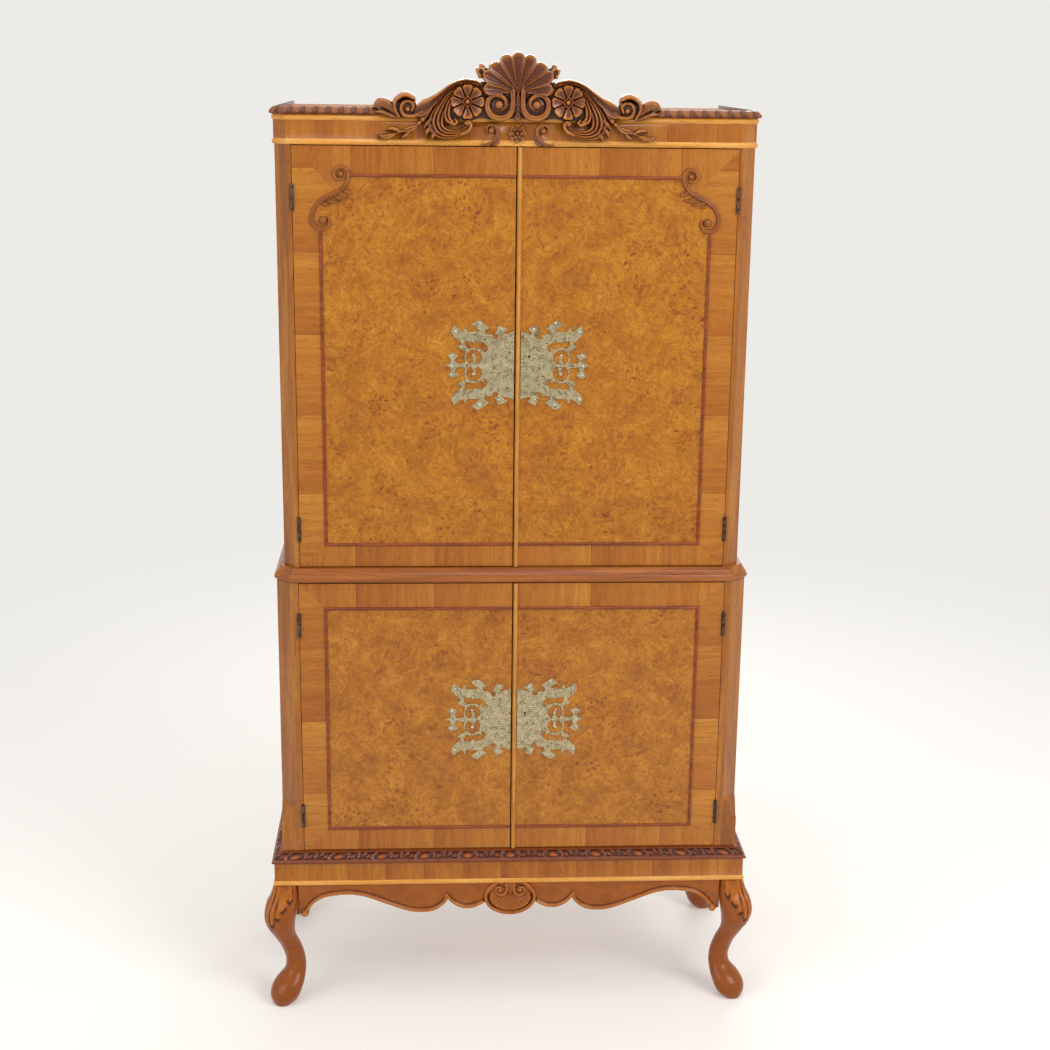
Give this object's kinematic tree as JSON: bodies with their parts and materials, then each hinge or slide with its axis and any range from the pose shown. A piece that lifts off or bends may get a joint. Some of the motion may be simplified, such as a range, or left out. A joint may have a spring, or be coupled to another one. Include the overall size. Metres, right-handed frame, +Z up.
{
  "type": "bar cabinet",
  "caption": "Tall stacked bar cabinet in burr walnut with paired doors above and below, pierced brass escutcheons, a carved shell pediment and cabriole legs.",
  "frame": {"origin": "on the floor under the middle of the cabinet's overall box", "axes": "+Z up, +X to the viewer's right when facing the doors, +Y into the wall behind"},
  "size_m": [0.955, 0.4504, 1.8178],
  "materials": {
    "walnut_case": "polished straight-grain walnut veneer with crossbanding",
    "burr_walnut": "polished burr walnut veneer with crossbanded borders",
    "carved_walnut": "dark stained and polished solid walnut, carved",
    "light_bead": "polished pale hardwood bead",
    "panel_bead": "polished red-brown bead",
    "inside_veneer": "plain satin veneer",
    "engraved_brass": "pale engraved brass, lightly tarnished",
    "bronzed_steel": "bronzed steel",
    "mirror": "silvered mirror glass",
    "glass": "clear polished plate glass"
  },
  "bodies": {
    "cabinet": {"waist_board": "walnut_case", "upper_back_panel": "inside_veneer", "upper_top_board": "inside_veneer", "frieze": "walnut_case", "cornice_moulding": "carved_walnut", "pediment_carving": "carved_walnut", "mirror_back": "mirror", "glass_shelf": "glass", "lower_floor_board": "walnut_case", "lower_back_panel": "inside_veneer", "waist_moulding": "carved_walnut", "base_moulding": "carved_walnut", "base_frieze": "walnut_case", "front_apron": "carved_walnut", "left_apron": "carved_walnut", "right_apron": "carved_walnut", "front_left_leg": "carved_walnut", "front_right_leg": "carved_walnut", "rear_left_leg": "carved_walnut", "rear_right_leg": "carved_walnut", "upper_left_side": "walnut_case", "upper_left_corner_stile": "walnut_case", "upper_left_bottom_hinge_case_leaf": "bronzed_steel", "upper_left_top_hinge_case_leaf": "bronzed_steel", "upper_right_side": "walnut_case", "upper_right_corner_stile": "walnut_case", "upper_right_bottom_hinge_case_leaf": "bronzed_steel", "upper_right_top_hinge_case_leaf": "bronzed_steel", "lower_left_side": "walnut_case", "lower_left_corner_stile": "walnut_case", "lower_left_bottom_hinge_case_leaf": "bronzed_steel", "lower_left_top_hinge_case_leaf": "bronzed_steel", "lower_right_side": "walnut_case", "lower_right_corner_stile": "walnut_case", "lower_right_bottom_hinge_case_leaf": "bronzed_steel", "lower_right_top_hinge_case_leaf": "bronzed_steel"},
    "upper_left_door_leaf": {"upper_left_door": "burr_walnut", "upper_left_panel_bead": "panel_bead", "upper_left_escutcheon": "engraved_brass", "upper_left_bottom_hinge_door_leaf": "bronzed_steel", "upper_left_top_hinge_door_leaf": "bronzed_steel"},
    "upper_right_door_leaf": {"upper_right_door": "burr_walnut", "upper_right_panel_bead": "panel_bead", "upper_right_escutcheon": "engraved_brass", "upper_right_bottom_hinge_door_leaf": "bronzed_steel", "upper_right_top_hinge_door_leaf": "bronzed_steel", "upper_meeting_bead": "light_bead", "upper_lock_case": "bronzed_steel"},
    "lower_left_door_leaf": {"lower_left_door": "burr_walnut", "lower_left_panel_bead": "panel_bead", "lower_left_escutcheon": "engraved_brass", "lower_left_bottom_hinge_door_leaf": "bronzed_steel", "lower_left_top_hinge_door_leaf": "bronzed_steel"},
    "lower_right_door_leaf": {"lower_right_door": "burr_walnut", "lower_right_panel_bead": "panel_bead", "lower_right_escutcheon": "engraved_brass", "lower_right_bottom_hinge_door_leaf": "bronzed_steel", "lower_right_top_hinge_door_leaf": "bronzed_steel", "lower_meeting_bead": "light_bead", "lower_lock_case": "bronzed_steel"}
  },
  "joints": [
    {"name": "upper_left_door_hinge", "type": "hinge", "parent": "cabinet", "child": "upper_left_door_leaf", "pos_m": [-0.3951, -0.17696, 1.2729], "axis": [0, 0, -1], "range_deg": [0, 110]},
    {"name": "upper_right_door_hinge", "type": "hinge", "parent": "cabinet", "child": "upper_right_door_leaf", "pos_m": [0.3951, -0.17696, 1.2729], "axis": [0, 0, 1], "range_deg": [0, 110]},
    {"name": "lower_left_door_hinge", "type": "hinge", "parent": "cabinet", "child": "lower_left_door_leaf", "pos_m": [-0.398, -0.18996, 0.59265], "axis": [0, 0, -1], "range_deg": [0, 110]},
    {"name": "lower_right_door_hinge", "type": "hinge", "parent": "cabinet", "child": "lower_right_door_leaf", "pos_m": [0.398, -0.18996, 0.59265], "axis": [0, 0, 1], "range_deg": [0, 110]}
  ]
}
